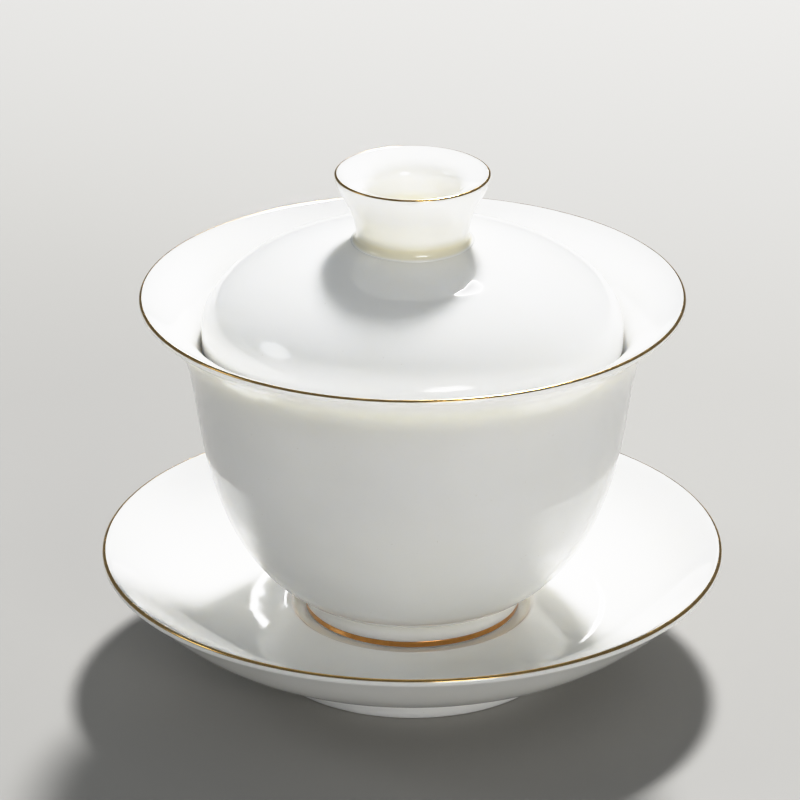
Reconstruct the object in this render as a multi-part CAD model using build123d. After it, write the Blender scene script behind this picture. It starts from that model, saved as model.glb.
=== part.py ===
from build123d import *
import os
from math import cos, radians, sin

# Gaiwan: a saucer, a bowl and a lid, each turned about one upright axis.
# Millimetres, +Z up, origin at the centre of the saucer's foot, on the table.
# Every piece is a section drawn as (radius, height) and turned about Z.

# Saucer
SAUCER_LIP_RADIUS = 57.55     # to the middle of the round lip
SAUCER_LIP_HEIGHT = 22.65
SAUCER_LIP_ROUND = 0.75       # half the thickness of the lip
SAUCER_FOOT_RADIUS = 27.4     # outside of the foot ring, where it stands
SAUCER_FOOT_WIDTH = 2.6
SAUCER_FOOT_ROOT = (28.1, 6.9)
SAUCER_RECESS_RADIUS = 24.0   # recess inside the foot ring
SAUCER_RECESS_HEIGHT = 7.2
WELL_RADIUS = 22.1            # shallow well that locates the bowl
WELL_EDGE = 0.9               # height and width of the well's sloping edge

# Bowl
BOWL_LIP_RADIUS = 49.75
BOWL_LIP_HEIGHT = 73.4
BOWL_LIP_ROUND = 0.65
BOWL_BASE = 10.9              # the bowl's foot stands here, on the floor of the well
BOWL_FOOT_RADIUS = 20.1
BOWL_FOOT_WIDTH = 2.4
BOWL_FOOT_ROOT = (20.4, 15.6)
BOWL_BELLY_START = (21.0, 15.6)   # a narrow ledge sets the foot ring back from the belly
BOWL_RECESS_RADIUS = 17.0
BOWL_RECESS_HEIGHT = 14.6
BOWL_FLOOR = 17.8

# Lid
LID_RADIUS = 38.95
LID_SPRING = 67.6             # height at which the dome springs from the edge
LID_RISE = 17.7               # from there to the top of the dome
LID_WALL = 2.1
LID_EDGE = 2.8                # straight edge under the dome

# Knob, a hollow ring joined to the top of the dome
KNOB_LIP_RADIUS = 13.8
KNOB_LIP_HEIGHT = 97.1
KNOB_LIP_ROUND = 0.55
KNOB_DISH_RADIUS = 8.5
KNOB_FLOOR = 86.6
KNOB_BASE_RADIUS = 11.2       # the neck meets the dome here in a small hollow curve

# Fired gilding
GOLD_THICKNESS = 0.12
LIP_FACETS = 4                # straight facets across a gilded lip
LIP_GOLD_ANGLES = (30, 85)     # across a round lip, from 0 outward to 90 up
FOOT_GOLD_HEIGHTS = (11.2, 12.4)


def heading(angle):
    """Unit direction at an angle in degrees, 0 outward and 90 up."""
    return (cos(radians(angle)), sin(radians(angle)))


def around(centre, radius, angle):
    step = heading(angle)
    return (centre[0] + radius * step[0], centre[1] + radius * step[1])


def round_edge(centre, radius, start, end):
    """Arc about a centre, from one angle to another."""
    points = [around(centre, radius, angle) for angle in (start, (start + end) / 2, end)]
    return ThreePointArc(*points)


def smooth(points, start, end):
    """Smooth curve through the points, with its heading at each end."""
    return Spline(points, tangents=[heading(start), heading(end)], tangent_scalars=[1, 1])


def section(*edges):
    return make_face(Wire(list(edges)))


def soften(face, radius, *corners):
    """Round the corners of a section that lie nearest to the given points."""
    chosen = [face.vertices().sort_by_distance((*corner, 0))[0] for corner in corners]
    return fillet(chosen, radius)


def path(*points):
    """Straight edges through the points."""
    return [Line(a, b) for a, b in zip(points, points[1:])]


def lip_band(centre, inner, outer):
    """Section of a band round a lip, between two radii, in short straight facets."""
    first, last = LIP_GOLD_ANGLES
    turns = [first + (last - first) * i / LIP_FACETS for i in range(LIP_FACETS + 1)]
    outside = [around(centre, outer, angle) for angle in turns]
    inside = [around(centre, inner, angle) for angle in reversed(turns)]
    return section(*path(*outside, *inside, outside[0]))


def gilded_lip(centre, radius):
    """Sections of the gilding on a lip and of the groove that it fills."""
    gold = lip_band(centre, radius - GOLD_THICKNESS, radius)
    groove = lip_band(centre, radius - GOLD_THICKNESS, radius + GOLD_THICKNESS)
    return gold, groove


def saucer_sections():
    lip = (SAUCER_LIP_RADIUS, SAUCER_LIP_HEIGHT)
    well_edge = (WELL_RADIUS + WELL_EDGE, BOWL_BASE + WELL_EDGE)
    edge = round_edge(lip, SAUCER_LIP_ROUND, -50, 130)
    under = smooth([SAUCER_FOOT_ROOT, (39.0, 8.6), (49.5, 14.5), edge @ 0], 4, 40)
    top = smooth([edge @ 1, (49.0, 16.9), (39.0, 12.7), well_edge], 220, 180)
    foot = path((0, SAUCER_RECESS_HEIGHT), (SAUCER_RECESS_RADIUS, SAUCER_RECESS_HEIGHT),
                (SAUCER_FOOT_RADIUS - SAUCER_FOOT_WIDTH, 0), (SAUCER_FOOT_RADIUS, 0),
                SAUCER_FOOT_ROOT)
    well = path(well_edge, (WELL_RADIUS, BOWL_BASE), (0, BOWL_BASE), (0, SAUCER_RECESS_HEIGHT))
    gold, groove = gilded_lip(lip, SAUCER_LIP_ROUND)
    body = section(*foot, under, edge, top, *well)
    body = soften(body, 1.2, SAUCER_FOOT_ROOT, (SAUCER_RECESS_RADIUS, SAUCER_RECESS_HEIGHT))
    body = soften(body, 0.6, (SAUCER_FOOT_RADIUS, 0), (SAUCER_FOOT_RADIUS - SAUCER_FOOT_WIDTH, 0))
    body = soften(body, 0.8, well_edge, (WELL_RADIUS, BOWL_BASE))
    return body - groove, gold


def bowl_sections():
    lip = (BOWL_LIP_RADIUS, BOWL_LIP_HEIGHT)
    edge = round_edge(lip, BOWL_LIP_ROUND, -52, 128)
    outside = smooth([BOWL_BELLY_START, (31.8, 25.4), (36.5, 35.4), (39.1, 45.4), (40.6, 55.4),
                      (42.3, 63.4), (45.2, 68.9), edge @ 0], 25, 38)
    inside = smooth([edge @ 1, (42.9, 69.9), (39.3, 64.6), (38.2, 56.0), (36.8, 46.0),
                     (34.1, 36.3), (29.2, 26.8), (20.5, 20.2), (10.0, 18.2), (0, BOWL_FLOOR)],
                    218, 180)
    foot = path((0, BOWL_RECESS_HEIGHT), (BOWL_RECESS_RADIUS, BOWL_RECESS_HEIGHT),
                (BOWL_FOOT_RADIUS - BOWL_FOOT_WIDTH, BOWL_BASE), (BOWL_FOOT_RADIUS, BOWL_BASE),
                BOWL_FOOT_ROOT, BOWL_BELLY_START)
    axis = Line((0, BOWL_FLOOR), (0, BOWL_RECESS_HEIGHT))
    body = section(*foot, outside, edge, inside, axis)
    body = soften(body, 1.0, (BOWL_RECESS_RADIUS, BOWL_RECESS_HEIGHT))
    body = soften(body, 0.25, BOWL_FOOT_ROOT, (BOWL_FOOT_RADIUS, BOWL_BASE),
                  (BOWL_FOOT_RADIUS - BOWL_FOOT_WIDTH, BOWL_BASE))
    rim_gold, groove = gilded_lip(lip, BOWL_LIP_ROUND)
    foot_gold = foot_band()
    return body - groove - foot_gold, rim_gold, foot_gold


def foot_band():
    """Section of the gilding set in the sloping side of the bowl's foot ring."""
    low, high = FOOT_GOLD_HEIGHTS
    slope = (BOWL_FOOT_ROOT[0] - BOWL_FOOT_RADIUS) / (BOWL_FOOT_ROOT[1] - BOWL_BASE)
    face_low = BOWL_FOOT_RADIUS + slope * (low - BOWL_BASE)
    face_high = BOWL_FOOT_RADIUS + slope * (high - BOWL_BASE)
    corners = [(face_low, low), (face_high, high), (face_high - GOLD_THICKNESS, high),
               (face_low - GOLD_THICKNESS, low)]
    return section(*path(*corners, corners[0]))


def dome(radius, rise):
    """Quarter ellipse of a dome, from its edge up to its top."""
    points = [(radius * cos(radians(angle)), LID_SPRING + rise * sin(radians(angle)))
              for angle in range(0, 91, 15)]
    return smooth(points, 90, 180)


def lid_section():
    outside = dome(LID_RADIUS, LID_RISE)
    inner_radius = LID_RADIUS - LID_WALL
    inner_rise = LID_RISE - LID_WALL
    inside = dome(inner_radius, inner_rise)
    low = LID_SPRING - LID_EDGE
    edge = round_edge((LID_RADIUS - LID_WALL / 2, low), LID_WALL / 2, 180, 360)
    return section(
        outside,
        Line(outside @ 1, inside @ 1),
        inside,
        Line(inside @ 0, edge @ 0),
        edge,
        Line(edge @ 1, outside @ 0),
    )


def knob_sections():
    lip = (KNOB_LIP_RADIUS, KNOB_LIP_HEIGHT)
    edge = round_edge(lip, KNOB_LIP_ROUND, -15, 120)
    base = (KNOB_BASE_RADIUS, LID_SPRING + LID_RISE - 1.0)
    outside = smooth([base, (10.55, 85.1), (10.42, 86.0), (10.5, 87.2), (10.8, 88.8), (11.4, 90.6),
                      (13.4, 94.5), edge @ 0], 150, 75)
    dish = smooth([edge @ 1, (KNOB_DISH_RADIUS + 0.6, 95.0), (KNOB_DISH_RADIUS, 92.0),
                   (KNOB_DISH_RADIUS - 0.2, 88.2), (KNOB_DISH_RADIUS - 2.0, KNOB_FLOOR)],
                  210, 180)
    core = path(dish @ 1, (0, KNOB_FLOOR), (0, base[1]), base)
    gold, groove = gilded_lip(lip, KNOB_LIP_ROUND)
    under_dome = section(dome(LID_RADIUS, LID_RISE),
                         *path((0, LID_SPRING + LID_RISE), (0, LID_SPRING), (LID_RADIUS, LID_SPRING)))
    return section(outside, edge, dish, *core) - under_dome - groove, gold


saucer, saucer_gold = saucer_sections()
bowl, bowl_rim_gold, bowl_foot_gold = bowl_sections()
knob, knob_gold = knob_sections()

sections = {
    "saucer": saucer,
    "saucer_rim_gilding": saucer_gold,
    "bowl": bowl,
    "bowl_rim_gilding": bowl_rim_gold,
    "bowl_foot_gilding": bowl_foot_gold,
    "lid": lid_section(),
    "lid_knob": knob,
    "knob_rim_gilding": knob_gold,
}

os.makedirs("parts", exist_ok=True)
for name, face in sections.items():
    piece = revolve(Plane.XZ * face, Axis.Z)
    piece.label = name
    export_step(piece, f"parts/{name}.step")
    print(name, "volume", round(piece.volume, 1), "mm3")
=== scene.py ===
"""Gaiwan in thin glazed porcelain with fired gilding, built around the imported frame.

Every porcelain piece is a section, drawn as (radius, height) in millimetres, turned about the
upright axis. The sections follow the CAD ones, with the lips whole and the gilding laid on top.
"""

from math import cos, pi, radians, sin

import bpy
import numpy as np
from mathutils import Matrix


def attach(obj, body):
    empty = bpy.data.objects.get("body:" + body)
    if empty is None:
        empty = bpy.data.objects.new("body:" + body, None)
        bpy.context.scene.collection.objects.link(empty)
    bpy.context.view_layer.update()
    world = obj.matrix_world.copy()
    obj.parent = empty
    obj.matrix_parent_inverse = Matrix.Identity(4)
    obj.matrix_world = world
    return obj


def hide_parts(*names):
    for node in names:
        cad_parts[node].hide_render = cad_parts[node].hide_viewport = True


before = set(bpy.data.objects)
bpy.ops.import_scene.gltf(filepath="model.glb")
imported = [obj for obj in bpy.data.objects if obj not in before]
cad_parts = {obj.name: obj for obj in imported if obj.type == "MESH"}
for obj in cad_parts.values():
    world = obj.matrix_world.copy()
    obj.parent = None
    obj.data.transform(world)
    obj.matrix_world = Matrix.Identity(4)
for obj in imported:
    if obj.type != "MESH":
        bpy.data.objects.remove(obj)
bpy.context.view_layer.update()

MM = 0.001
SEGMENTS = 240          # steps round the axis
STEP = 1.2              # spacing of points along a smooth curve
CORNER_STEPS = 7        # points across a rounded corner
EDGE_STEPS = 14         # steps round a lip
SAME_POINT = 1e-4       # two points nearer than this are one
LIFT = 0.6              # how far a warped rim rises, against how far it spreads

# Saucer
SAUCER_LIP = (57.55, 22.65)
SAUCER_LIP_ROUND = 0.75
SAUCER_FOOT = (24.8, 27.4)          # inner and outer radius where it stands
SAUCER_FOOT_ROOT = (28.1, 6.9)
SAUCER_RECESS = (24.0, 7.2)
# unglazed face: inner and outer radius, lowest and highest
SAUCER_BARE = (SAUCER_FOOT[0] + 0.1, SAUCER_FOOT[1] - 0.1, -0.1, 0.35)
WELL_RADIUS = 22.1
WELL_EDGE = 0.9

# Bowl
BOWL_LIP = (49.75, 73.4)
BOWL_LIP_ROUND = 0.65
BOWL_BASE = 10.9
BOWL_FOOT = (17.7, 20.1)
BOWL_FOOT_ROOT = (20.4, 15.6)
BOWL_BELLY_START = (21.0, 15.6)
BOWL_RECESS = (17.0, 14.6)
BOWL_FLOOR = 17.8
BOWL_BARE = (BOWL_FOOT[0] + 0.05, BOWL_FOOT[1] - 0.05, BOWL_BASE - 0.1, BOWL_BASE + 0.08)

# Lid and knob
LID_RADIUS = 38.95
LID_SPRING = 67.6
LID_RISE = 17.7
LID_WALL = 2.1
LID_EDGE = 2.8
KNOB_LIP = (13.8, 97.1)
KNOB_LIP_ROUND = 0.55
KNOB_DISH = 8.5
KNOB_FLOOR = 86.6
KNOB_FOOT = 11.4        # radius at which the neck's hollow curve runs out on the dome
KNOB_SUNK = 0.01        # the thin edge of that curve lies this far below the dome's glaze
KNOB_BASE = (0.4, 0.25) # width and height of the bevel under that edge
KNOB_JOINT = (KNOB_FOOT - 0.5, 84.6)    # where the knob is luted to the dome

# Gilding
GOLD_PROUD = 0.03       # how far the gold stands above the glaze
GOLD_DEPTH = 0.12
GOLD_STEPS = 10         # steps across a band
GOLD_WANDER = 0.10      # how much the brush strays at each edge, as a share of the width
GOLD_UNEVEN = 0.25      # how much the band's height varies
GOLD_SHOULDER = 8       # the band reaches its full height within 1/8 of its width
GOLD_TUCK = 0.3         # share of its height by which the outermost edge dips into the glaze
LIP_GOLD = (30, 85)     # across a round lip, from 0 outward to 90 up
FOOT_GOLD = (11.2, 12.4)

# Glaze
SHARPEST_BEND = 1.2     # bends tighter than this, per millimetre, hold no more glaze
POOL_AND_SHADE_SPREAD = 1.1       # distance over which glaze runs together, and over which the painted shade in hollows spreads
POOL_AND_SHADE_GAIN = 1.6
JOINT_SHADE = (0.6, 3.0)    # no light shines through nearer than this, then more over this length


# ---------------------------------------------------------------- sections

def heading(angle):
    """Unit direction at an angle in degrees, 0 outward and 90 up."""
    return np.array([cos(radians(angle)), sin(radians(angle))])


def smooth(points, start, end):
    """Points along the clamped cubic curve through the given points, with a heading at each end."""
    knots = np.array(points, float)
    gaps = np.hypot(*np.diff(knots, axis=0).T)
    count = len(knots)
    matrix = np.eye(count)
    target = np.zeros((count, 2))
    target[0] = heading(start)
    target[-1] = heading(end)
    for i in range(1, count - 1):
        before, after = gaps[i - 1], gaps[i]
        matrix[i, i - 1:i + 2] = after, 2 * (before + after), before
        target[i] = 3 * (after / before * (knots[i] - knots[i - 1])
                         + before / after * (knots[i + 1] - knots[i]))
    slopes = np.linalg.solve(matrix, target)
    curve = []
    for i, gap in enumerate(gaps):
        for t in np.arange(0, 1, 1 / max(2, round(gap / STEP))):
            curve.append((2 * t**3 - 3 * t**2 + 1) * knots[i] + (3 * t**2 - 2 * t**3) * knots[i + 1]
                         + gap * ((t**3 - 2 * t**2 + t) * slopes[i] + (t**3 - t**2) * slopes[i + 1]))
    return curve + [knots[-1]]


def round_edge(centre, radius, start, end):
    """Points along an arc about a centre, from one angle to another."""
    return [np.array(centre) + radius * heading(a) for a in np.linspace(start, end, EDGE_STEPS + 1)]


def straight(*points):
    """Points along straight runs, evenly spaced on each run."""
    line = []
    for a, b in zip(points, points[1:]):
        a, b = np.array(a, float), np.array(b, float)
        steps = max(2, round(np.hypot(*(b - a)) / (3 * STEP)))
        line += [a + (b - a) * t for t in np.linspace(0, 1, steps, endpoint=False)]
    return line + [np.array(points[-1], float)]


def joined(*runs):
    """One outline from runs that meet end to end."""
    outline = []
    for run in runs:
        for point in run:
            if not outline or np.hypot(*(point - outline[-1])) > SAME_POINT:
                outline.append(np.array(point, float))
    return outline


def cut_back(run, reach):
    """The run without its first stretch of length reach, starting at exactly that distance."""
    left = reach
    for i in range(len(run) - 1):
        gap = np.hypot(*(run[i + 1] - run[i]))
        if gap > left:
            return [run[i] + (run[i + 1] - run[i]) * left / gap] + run[i + 1:]
        left -= gap
    raise ValueError("the corner's reach is longer than the run beside it")


def soften(outline, corner, reach):
    """Rounds the outline's corner nearest to a point, over a length of reach on each side."""
    at = min(range(len(outline)), key=lambda i: np.hypot(*(outline[i] - np.array(corner))))
    before = cut_back(outline[at::-1], reach)[::-1]
    after = cut_back(outline[at:], reach)
    middle = []
    for t in np.linspace(0, 1, CORNER_STEPS + 1)[1:-1]:
        middle.append((1 - t)**2 * before[-1] + 2 * t * (1 - t) * outline[at] + t**2 * after[0])
    return before + middle + after


def saucer_section():
    well_edge = (WELL_RADIUS + WELL_EDGE, BOWL_BASE + WELL_EDGE)
    edge = round_edge(SAUCER_LIP, SAUCER_LIP_ROUND, -50, 130)
    under = smooth([SAUCER_FOOT_ROOT, (39.0, 8.6), (49.5, 14.5), edge[0]], 4, 40)
    top = smooth([edge[-1], (49.0, 16.9), (39.0, 12.7), well_edge], 220, 180)
    foot = straight((0, SAUCER_RECESS[1]), SAUCER_RECESS, (SAUCER_FOOT[0], 0), (SAUCER_FOOT[1], 0),
                    SAUCER_FOOT_ROOT)
    well = straight(well_edge, (WELL_RADIUS, BOWL_BASE), (0, BOWL_BASE))
    outline = joined(foot, under, edge, top, well)
    for corner, reach in ((SAUCER_FOOT_ROOT, 1.2), (SAUCER_RECESS, 1.1),
                          ((SAUCER_FOOT[0], 0), 0.6), ((SAUCER_FOOT[1], 0), 0.6),
                          (well_edge, 0.45), ((WELL_RADIUS, BOWL_BASE), 0.45)):
        outline = soften(outline, corner, reach)
    return outline


def bowl_section():
    edge = round_edge(BOWL_LIP, BOWL_LIP_ROUND, -52, 128)
    outside = smooth([BOWL_BELLY_START, (31.8, 25.4), (36.5, 35.4), (39.1, 45.4), (40.6, 55.4),
                      (42.3, 63.4), (45.2, 68.9), edge[0]], 25, 38)
    inside = smooth([edge[-1], (42.9, 69.9), (39.3, 64.6), (38.2, 56.0), (36.8, 46.0), (34.1, 36.3),
                     (29.2, 26.8), (20.5, 20.2), (10.0, 18.2), (0, BOWL_FLOOR)], 218, 180)
    foot = straight((0, BOWL_RECESS[1]), BOWL_RECESS, (BOWL_FOOT[0], BOWL_BASE),
                    (BOWL_FOOT[1], BOWL_BASE), BOWL_FOOT_ROOT, BOWL_BELLY_START)
    outline = joined(foot, outside, edge, inside)
    for corner, reach in ((BOWL_RECESS, 1.0), ((BOWL_FOOT[0], BOWL_BASE), 0.25),
                          ((BOWL_FOOT[1], BOWL_BASE), 0.25), (BOWL_FOOT_ROOT, 0.25),
                          (BOWL_BELLY_START, 0.25)):
        outline = soften(outline, corner, reach)
    return outline


def dome(radius, rise, start, end):
    """Points along the dome's ellipse, by the angle from its edge."""
    steps = round(abs(end - start) / 90 * radius / STEP * 1.2)
    return [np.array([radius * cos(radians(a)), LID_SPRING + rise * sin(radians(a))])
            for a in np.linspace(start, end, steps + 1)]


def lid_section():
    low = LID_SPRING - LID_EDGE
    edge = round_edge((LID_RADIUS - LID_WALL / 2, low), LID_WALL / 2, 180, 360)
    inside = dome(LID_RADIUS - LID_WALL, LID_RISE - LID_WALL, 90, 0)
    return joined(inside, straight(inside[-1], edge[0]), edge,
                  straight(edge[-1], (LID_RADIUS, LID_SPRING)), dome(LID_RADIUS, LID_RISE, 0, 90))


def knob_section():
    foot = LID_SPRING + LID_RISE * (1 - (KNOB_FOOT / LID_RADIUS)**2)**0.5 - KNOB_SUNK
    edge = round_edge(KNOB_LIP, KNOB_LIP_ROUND, -15, 120)
    outside = smooth([(KNOB_FOOT, foot), (10.8, 84.85), (10.5, 85.3), (10.42, 86.0), (10.5, 87.2),
                      (10.8, 88.8), (11.4, 90.6), (13.4, 94.5), edge[0]], 168, 75)
    dish = smooth([edge[-1], (KNOB_DISH + 0.6, 95.0), (KNOB_DISH, 92.0), (KNOB_DISH - 0.2, 88.2),
                   (KNOB_DISH - 2.0, KNOB_FLOOR)], 210, 180)
    bevel, drop = KNOB_BASE
    below = straight((0, foot - drop), (KNOB_FOOT - bevel, foot - drop), (KNOB_FOOT, foot))
    return joined(below, outside, edge, dish, straight(dish[-1], (0, KNOB_FLOOR)))


# ---------------------------------------------------------------- meshes

def wobble(angles, seed, size, orders=(2, 3, 5)):
    """Slow uneven change round the axis, as a hand or the kiln leaves it, in the unit of size."""
    rng = np.random.default_rng(seed)
    total = np.zeros_like(angles)
    for order in orders:
        total += rng.uniform(0.5, 1) / order * np.sin(order * angles + rng.uniform(0, 2 * pi))
    return size * total


def closed_mesh(name, points, faces, values):
    """Mesh object with smooth faces and one number per point for each named value."""
    mesh = bpy.data.meshes.new(name)
    mesh.from_pydata((np.array(points) * MM).tolist(), [], faces)
    mesh.polygons.foreach_set("use_smooth", [True] * len(mesh.polygons))
    for key, numbers in values.items():
        attribute = mesh.attributes.new(key, "FLOAT", "POINT")
        attribute.data.foreach_set("value", np.array(numbers, np.float32))
    mesh.update()
    piece = bpy.data.objects.new(name, mesh)
    bpy.context.scene.collection.objects.link(piece)
    return piece


def bend(outline):
    """How hollow (positive) or proud (negative) the outline is at each point, per millimetre."""
    pts = np.array(outline)
    turn = np.zeros(len(pts))
    for i in range(1, len(pts) - 1):
        a, b = pts[i] - pts[i - 1], pts[i + 1] - pts[i]
        swing = np.arctan2(a[0] * b[1] - a[1] * b[0], a @ b)
        turn[i] = -swing / (0.5 * (np.hypot(*a) + np.hypot(*b)))
    return turn


def along_outline(outline):
    """Distance of each point from the start, measured along the outline."""
    return np.r_[0, np.cumsum(np.hypot(*np.diff(np.array(outline), axis=0).T))]


def pooled_and_shaded(outline):
    """Share of glaze that has run together in each hollow, up to 1, and off each edge, below 0; the
    glaze colour also darkens by it, as painted shade in the hollows.
    """
    along = along_outline(outline)
    turn = np.clip(bend(outline), -SHARPEST_BEND, SHARPEST_BEND)
    weight = np.exp(-((along[:, None] - along[None, :]) / POOL_AND_SHADE_SPREAD)**2)
    step = np.gradient(along)
    return np.clip((weight * turn * step).sum(1) / (weight * step).sum(1) * POOL_AND_SHADE_GAIN, -1, 1)


def turned(name, outline, seed, warp, bare=None, joint=None):
    """The solid that an outline from axis to axis makes when it turns, slightly warped by firing.

    bare is (inner radius, outer radius, low, high) of the face without glaze. joint is the
    (radius, height) at which another piece is luted on, where light doesn't shine through."""
    pts = np.array(outline)
    angles = np.arange(SEGMENTS) * 2 * pi / SEGMENTS
    reach = pts[:, 0].max()
    height = np.ptp(pts[:, 1])
    oval = wobble(angles, seed, warp)
    lift = wobble(angles, seed + 1, warp * LIFT)
    points, rings = [], []
    for radius, z in pts:
        if radius < 1e-6:
            rings.append([len(points)] * SEGMENTS)
            points.append((0, 0, z))
            continue
        share = (radius / reach)**3 * ((z - pts[:, 1].min()) / height)
        rings.append(list(range(len(points), len(points) + SEGMENTS)))
        for angle, side, up in zip(angles, oval, lift):
            r = radius + side * share
            points.append((r * cos(angle), r * sin(angle), z + up * share))
    faces = []
    for lower, upper in zip(rings, rings[1:]):
        for i in range(SEGMENTS):
            j = (i + 1) % SEGMENTS
            corners = [lower[i], lower[j], upper[j], upper[i]]
            faces.append(tuple(dict.fromkeys(corners)))
    pool_and_shade = pooled_and_shaded(outline)
    rough = np.zeros(len(pts))
    if bare:
        inner, outer, low, high = bare
        rough = [float(inner <= r <= outer and low <= z <= high) for r, z in pts]
    clear = np.ones(len(pts))
    if joint:
        nearest, fade = JOINT_SHADE
        clear = np.clip((np.hypot(*(pts - np.array(joint)).T) - nearest) / fade, 0, 1)
    values = {"pool_and_shade": [], "bare": [], "clear": []}
    for ring, *numbers in zip(rings, pool_and_shade, rough, clear):
        copies = len(dict.fromkeys(ring))
        for key, number in zip(values, numbers):
            values[key] += [number] * copies
    return closed_mesh(name, points, faces, values)


def gilded(name, face, seed):
    """Band of gold brushed round the piece. face(t) gives the glaze's point and outward direction
    for t from 0 to 1 across the band; the brush leaves each edge a little uneven."""
    angles = np.arange(SEGMENTS) * 2 * pi / SEGMENTS
    first = wobble(angles, seed, GOLD_WANDER, orders=(3, 7, 13, 29))
    last = wobble(angles, seed + 1, GOLD_WANDER, orders=(4, 9, 17, 31))
    body = wobble(angles, seed + 2, GOLD_UNEVEN, orders=(5, 11, 19))
    across = np.linspace(0, 1, GOLD_STEPS + 1)
    points, centre = [], []
    for angle, a, b, thick in zip(angles, first, last, body):
        for t in across:
            glaze, out = face(a + t * (1 + b - a))
            proud = GOLD_PROUD * (1 + thick) * min(1, GOLD_SHOULDER * t, GOLD_SHOULDER * (1 - t))
            if t in (0, 1):
                proud -= GOLD_TUCK * GOLD_PROUD
            r, z = glaze + proud * out
            points.append((r * cos(angle), r * sin(angle), z))
            centre.append(1 - abs(2 * t - 1))
        for t in across[::-1]:
            glaze, out = face(a + t * (1 + b - a))
            r, z = glaze - GOLD_DEPTH * out
            points.append((r * cos(angle), r * sin(angle), z))
            centre.append(1 - abs(2 * t - 1))
    loop = 2 * len(across)
    faces = []
    for i in range(SEGMENTS):
        here, there = i * loop, (i + 1) % SEGMENTS * loop
        for k in range(loop):
            n = (k + 1) % loop
            faces.append((here + k, there + k, there + n, here + n))
    return closed_mesh(name, points, faces, {"middle": centre})


def lip_face(centre, radius):
    """The glaze across the gilded band of a round lip."""
    def face(t):
        out = heading(LIP_GOLD[0] + (LIP_GOLD[1] - LIP_GOLD[0]) * t)
        return np.array(centre) + radius * out, out
    return face


def foot_face(t):
    """The glaze across the band on the sloping side of the bowl's foot ring."""
    low = np.array((BOWL_FOOT[1], BOWL_BASE))
    rise = np.array(BOWL_FOOT_ROOT) - low
    z = FOOT_GOLD[0] + (FOOT_GOLD[1] - FOOT_GOLD[0]) * t
    out = np.array((rise[1], -rise[0])) / np.hypot(*rise)
    return low + rise * (z - BOWL_BASE) / rise[1], out


# ---------------------------------------------------------------- materials

class Nodes:
    """Short way to add and link shader nodes in one material."""

    def __init__(self, name):
        self.material = bpy.data.materials.new(name)
        self.material.use_nodes = True
        self.tree = self.material.node_tree
        self.shader = self.tree.nodes["Principled BSDF"]

    def add(self, kind, **settings):
        node = self.tree.nodes.new("ShaderNode" + kind)
        inputs = settings.pop("inputs", {})
        for key, value in settings.items():
            setattr(node, key, value)
        for key, value in inputs.items():
            self.put(node, key, value)
        return node

    def put(self, node, socket, value):
        """Sets a socket to a number or colour, or links another node's output to it."""
        if isinstance(value, bpy.types.NodeSocket):
            self.tree.links.new(value, node.inputs[socket])
        else:
            node.inputs[socket].default_value = value

    def noise(self, scale, detail=3.0, roughness=0.5, vector=None):
        vector = vector or self.add("TexCoord").outputs["Object"]
        return self.add("TexNoise", inputs={"Vector": vector, "Scale": scale, "Detail": detail,
                                            "Roughness": roughness}).outputs["Fac"]

    def value(self, name):
        return self.add("Attribute", attribute_name=name).outputs["Fac"]

    def ramp(self, factor, low, high, to_low=0.0, to_high=1.0):
        return self.add("MapRange", inputs={"Value": factor, "From Min": low, "From Max": high,
                                            "To Min": to_low, "To Max": to_high}).outputs["Result"]

    def mix(self, factor, a, b):
        node = self.add("Mix", data_type="RGBA")
        self.put(node, 0, factor)
        self.put(node, 6, a)
        self.put(node, 7, b)
        return node.outputs[2]

    def math(self, operation, a, b):
        node = self.add("Math", operation=operation)
        self.put(node, 0, a)
        self.put(node, 1, b)
        return node.outputs[0]

    def bump(self, height, distance, strength=1.0, normal=None):
        node = self.add("Bump", inputs={"Height": height, "Distance": distance, "Strength": strength})
        if normal is not None:
            self.put(node, "Normal", normal)
        return node.outputs["Normal"]


WHITE = (0.90, 0.895, 0.874, 1)
KNOB_WHITE = (0.90, 0.896, 0.878, 1)
CLOUDED = (0.975, 0.972, 0.955)         # share of the white that is left in a clouded patch
POOL_AND_SHADE = (0.69, 0.69, 0.54, 1)            # glaze that has run together in a hollow, darkened further as painted shade there
# the saucer's glaze run together in its hollows, lighter, with painted shade where the well meets the
# foot
SAUCER_POOL_AND_SHADE = (0.82, 0.815, 0.70, 1)
KNOB_POOL = (0.84, 0.79, 0.61, 1)
SPECK = (0.50, 0.44, 0.34, 1)
BISQUE = (0.68, 0.63, 0.55, 1)
BISQUE_GRAIN = (0.52, 0.47, 0.39, 1)
RIM_GOLD = ((0.62, 0.40, 0.14, 1), (0.30, 0.175, 0.06, 1))      # bright, worn
FOOT_RING_GOLD = ((0.80, 0.39, 0.12, 1), (0.50, 0.22, 0.06, 1))
TRANSLUCENCE = 0.9
FLOOR_NEAR = (0.30, 0.293, 0.28, 1)
# far floor painted lighter, as painted light where the lamps' light falls off
FLOOR_FAR_PAINTED_LIGHT = (0.66, 0.65, 0.63, 1)


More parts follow.
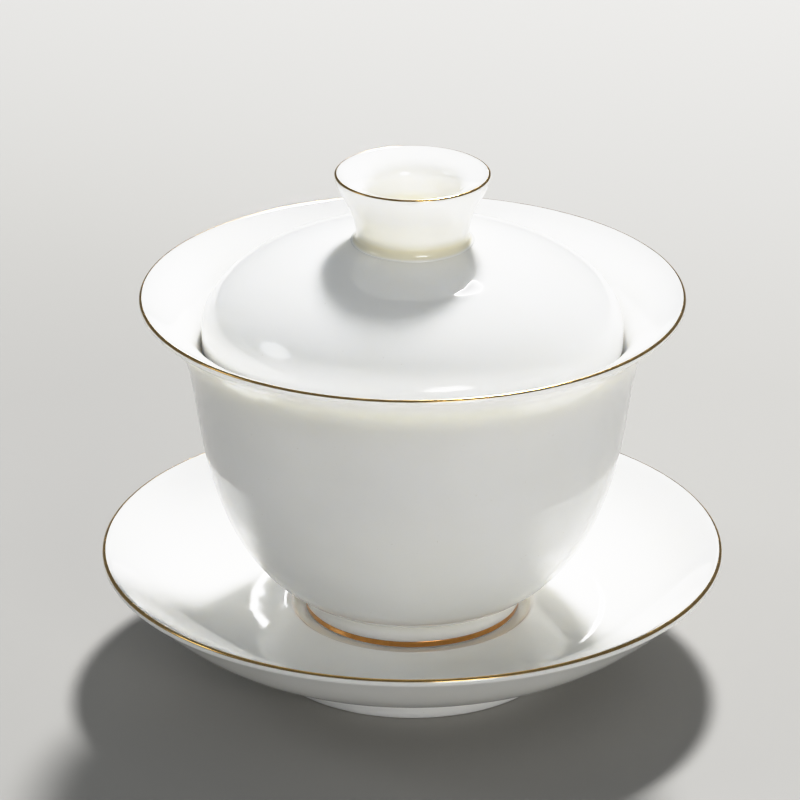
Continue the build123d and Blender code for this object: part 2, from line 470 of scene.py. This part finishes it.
def porcelain(name, white=WHITE, pool_and_shade=POOL_AND_SHADE, luted=False):
    """Thin translucent porcelain under a clear, glossy glaze, bare and dry on the foot's face.
    Where pieces are luted together it lets less light through, down to none at the joint."""
    n = Nodes(name)
    clouded = tuple(level * share for level, share in zip(white, CLOUDED)) + (1,)
    glaze = n.mix(n.ramp(n.noise(45, 4), 0.35, 0.65), white, clouded)
    # hollows take the pooled glaze colour, which also paints shade into them
    glaze = n.mix(n.ramp(n.value("pool_and_shade"), 0.04, 0.5), glaze, pool_and_shade)
    glaze = n.mix(n.ramp(n.noise(2600, 0.0), 0.865, 0.88, 0.0, 0.3), glaze, SPECK)
    dry = n.value("bare")
    grain = n.noise(5200, 3)
    biscuit = n.mix(n.ramp(grain, 0.35, 0.7), BISQUE, BISQUE_GRAIN)
    n.put(n.shader, "Base Color", n.mix(dry, glaze, biscuit))
    gloss = n.ramp(n.noise(260, 2), 0.3, 0.7, 0.035, 0.07)
    n.put(n.shader, "Roughness", n.ramp(dry, 0, 1, gloss, 0.85))
    ripple = n.bump(n.noise(85, 1.5), 0.00006)
    orange = n.bump(n.noise(700, 1.0), 0.0000025, normal=ripple)
    n.put(n.shader, "Normal", n.bump(n.math("MULTIPLY", grain, dry), 0.00006, normal=orange))
    n.put(n.shader, "IOR", 1.58)
    lets_through = n.ramp(n.value("clear"), 0, 1, 0.0, TRANSLUCENCE) if luted else TRANSLUCENCE
    n.put(n.shader, "Subsurface Weight", lets_through)
    n.put(n.shader, "Subsurface Radius", (1.0, 0.97, 0.90))
    n.put(n.shader, "Subsurface Scale", 0.0042)
    return n.material


def gilding(name, tones, wear):
    """Fired gold, burnished, worn in patches and along the band's edges."""
    bright, worn = tones
    n = Nodes(name)
    patchy = n.ramp(n.noise(420, 4, 0.6), 0.35, 0.75)
    thin = n.ramp(n.value("middle"), 0.0, 0.35, 1.0, 0.0)
    rub = n.math("MULTIPLY", n.math("MAXIMUM", patchy, thin), wear)
    n.put(n.shader, "Base Color", n.mix(rub, bright, worn))
    n.put(n.shader, "Metallic", 1.0)
    n.put(n.shader, "Roughness", n.ramp(n.noise(900, 3), 0.3, 0.7, 0.10, 0.24))
    n.put(n.shader, "Normal", n.bump(n.noise(500, 2), 0.000006))
    return n.material


# ---------------------------------------------------------------- pieces

def add_piece(piece, body, node, material):
    """Gives a finished mesh its material, and its place in the frame instead of a node's."""
    piece.data.materials.append(material)
    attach(piece, body)
    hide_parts(node)


def build_pieces():
    bowl_glaze = porcelain("bowl_porcelain")
    lid_glaze = porcelain("lid_porcelain", luted=True)
    saucer_glaze = porcelain("saucer_porcelain", WHITE, SAUCER_POOL_AND_SHADE)
    knob_glaze = porcelain("knob_porcelain", KNOB_WHITE, KNOB_POOL, luted=True)
    gold = gilding("rim_gold", RIM_GOLD, 0.6)
    foot_gold = gilding("foot_gold", FOOT_RING_GOLD, 0.7)
    add_piece(turned("saucer_porcelain", saucer_section(), 11, 0.10, SAUCER_BARE),
              "saucer", "saucer", saucer_glaze)
    add_piece(turned("bowl_porcelain", bowl_section(), 21, 0.07, BOWL_BARE),
              "bowl", "bowl", bowl_glaze)
    add_piece(turned("lid_porcelain", lid_section(), 31, 0.0, joint=KNOB_JOINT),
              "lid", "lid", lid_glaze)
    add_piece(turned("knob_porcelain", knob_section(), 41, 0.0, joint=KNOB_JOINT),
              "lid", "lid_knob", knob_glaze)
    add_piece(gilded("saucer_gold", lip_face(SAUCER_LIP, SAUCER_LIP_ROUND), 51),
              "saucer", "saucer_rim_gilding", gold)
    add_piece(gilded("bowl_gold", lip_face(BOWL_LIP, BOWL_LIP_ROUND), 61),
              "bowl", "bowl_rim_gilding", gold)
    add_piece(gilded("foot_gold", foot_face, 71),
              "bowl", "bowl_foot_gilding", foot_gold)
    add_piece(gilded("knob_gold", lip_face(KNOB_LIP, KNOB_LIP_ROUND), 81),
              "lid", "knob_rim_gilding", gold)


# ---------------------------------------------------------------- stage, light and camera

FLOOR_SIDE = 6.0
FLOOR_GAP = 0.00003         # keeps the floor and the foot's flat face apart
FLOOR_FADE = (0.15, 1.6)    # distances between which the floor turns from near to far colour; the far colour is painted light that makes up for the lamps' fall-off
TILT = 23.44                # how far the camera looks down, in degrees
LENS = 222.7
CAMERA_AT = (-0.0023, -0.8438, 0.4183)
AIM = (0, 0, 0.05)          # the point that the lights are turned to
BRIGHTEST = 2.2             # scene value that the tone curve ends at
TONES = ((0.2, 0.2), (0.4, 0.4), (0.6, 0.6), (0.85, 0.8), (1.2, 0.935), (1.6, 0.985))


def build_floor():
    bpy.ops.mesh.primitive_plane_add(size=FLOOR_SIDE, location=(0, 0, -FLOOR_GAP))
    floor = bpy.context.object
    floor.name = "floor"
    n = Nodes("pale_floor")
    reach = n.add("VectorMath", operation="LENGTH", inputs={0: n.add("TexCoord").outputs["Object"]})
    # the floor is painted lighter with distance, as painted light against the lamps' fall-off
    far = n.ramp(reach.outputs["Value"], *FLOOR_FADE)
    n.put(n.shader, "Base Color", n.mix(far, FLOOR_NEAR, FLOOR_FAR_PAINTED_LIGHT))
    n.put(n.shader, "Roughness", 0.6)
    n.put(n.shader, "Specular IOR Level", 0.25)
    floor.data.materials.append(n.material)


def soft_light(name, azimuth, elevation, distance, width, height, power,
               colour=(1, 1, 1), border=0.35):
    """Softbox aimed at the bowl, by azimuth (0 behind the object, 90 to its right) and elevation.
    It dims over a border at its edges, so that its reflections in the glaze end softly."""
    light = bpy.data.lights.new(name, "AREA")
    light.shape = "RECTANGLE"
    light.size = width
    light.size_y = height
    light.energy = power
    light.color = colour
    light.use_nodes = True
    tree = light.node_tree
    geometry = tree.nodes.new("ShaderNodeNewGeometry")
    reach = tree.nodes.new("ShaderNodeVectorMath")
    reach.operation = "DISTANCE"
    reach.inputs[1].default_value = (0.5, 0.5, 0)
    fade = tree.nodes.new("ShaderNodeMapRange")
    fade.interpolation_type = "SMOOTHSTEP"
    for socket, value in (("From Min", 0.55 - border), ("From Max", 0.55),
                          ("To Min", 2.0), ("To Max", 0.0)):
        fade.inputs[socket].default_value = value
    tree.links.new(geometry.outputs["Parametric"], reach.inputs[0])
    tree.links.new(reach.outputs["Value"], fade.inputs["Value"])
    tree.links.new(fade.outputs["Result"], tree.nodes["Emission"].inputs["Strength"])
    holder = bpy.data.objects.new(name, light)
    bpy.context.scene.collection.objects.link(holder)
    a, e = radians(azimuth), radians(elevation)
    way = np.array([sin(a) * cos(e), cos(a) * cos(e), sin(e)])
    holder.location = np.array(AIM) + distance * way
    holder.rotation_euler = (pi / 2 - e, 0, pi - a)


def build_light():
    world = bpy.data.worlds.new("studio")
    bpy.context.scene.world = world
    world.use_nodes = True
    sky = world.node_tree.nodes["Background"]
    sky.inputs["Color"].default_value = (0.87, 0.94, 1.0, 1)
    sky.inputs["Strength"].default_value = 0.2
    soft_light("key", 12, 51, 1.1, 0.2, 0.2, 25)
    soft_light("left_window", -88, 34, 1.3, 0.45, 0.38, 1.2, (0.93, 0.97, 1), border=0.15)
    soft_light("front_fill", 161, 18, 1.3, 0.7, 0.5, 8.2, (1, 0.985, 0.94))
    soft_light("back_strip", -2.5, 20, 1.2, 0.02, 0.28, 0.17)


def build_exposure():
    """Plain response up to light grey, then a soft shoulder, so that white glaze keeps its form."""
    view = bpy.context.scene.view_settings
    view.view_transform = "Standard"
    view.look = "None"
    view.use_curve_mapping = True
    view.curve_mapping.white_level = (BRIGHTEST, BRIGHTEST, BRIGHTEST)
    curve = view.curve_mapping.curves[3]
    curve.points[0].location = (0, 0)
    curve.points[1].location = (1, 1)
    for scene_value, shown in TONES:
        curve.points.new(scene_value / BRIGHTEST, shown)
    view.curve_mapping.update()


def build_camera():
    """A long lens looking down on the lid from the front."""
    camera = bpy.data.cameras.new("camera")
    camera.lens = LENS
    camera.sensor_width = 36
    camera.clip_start = 0.05
    holder = bpy.data.objects.new("camera", camera)
    holder.location = CAMERA_AT
    holder.rotation_euler = (radians(90 - TILT), 0, 0)
    bpy.context.scene.collection.objects.link(holder)
    bpy.context.scene.camera = holder


build_pieces()
build_floor()
build_light()
build_exposure()
build_camera()
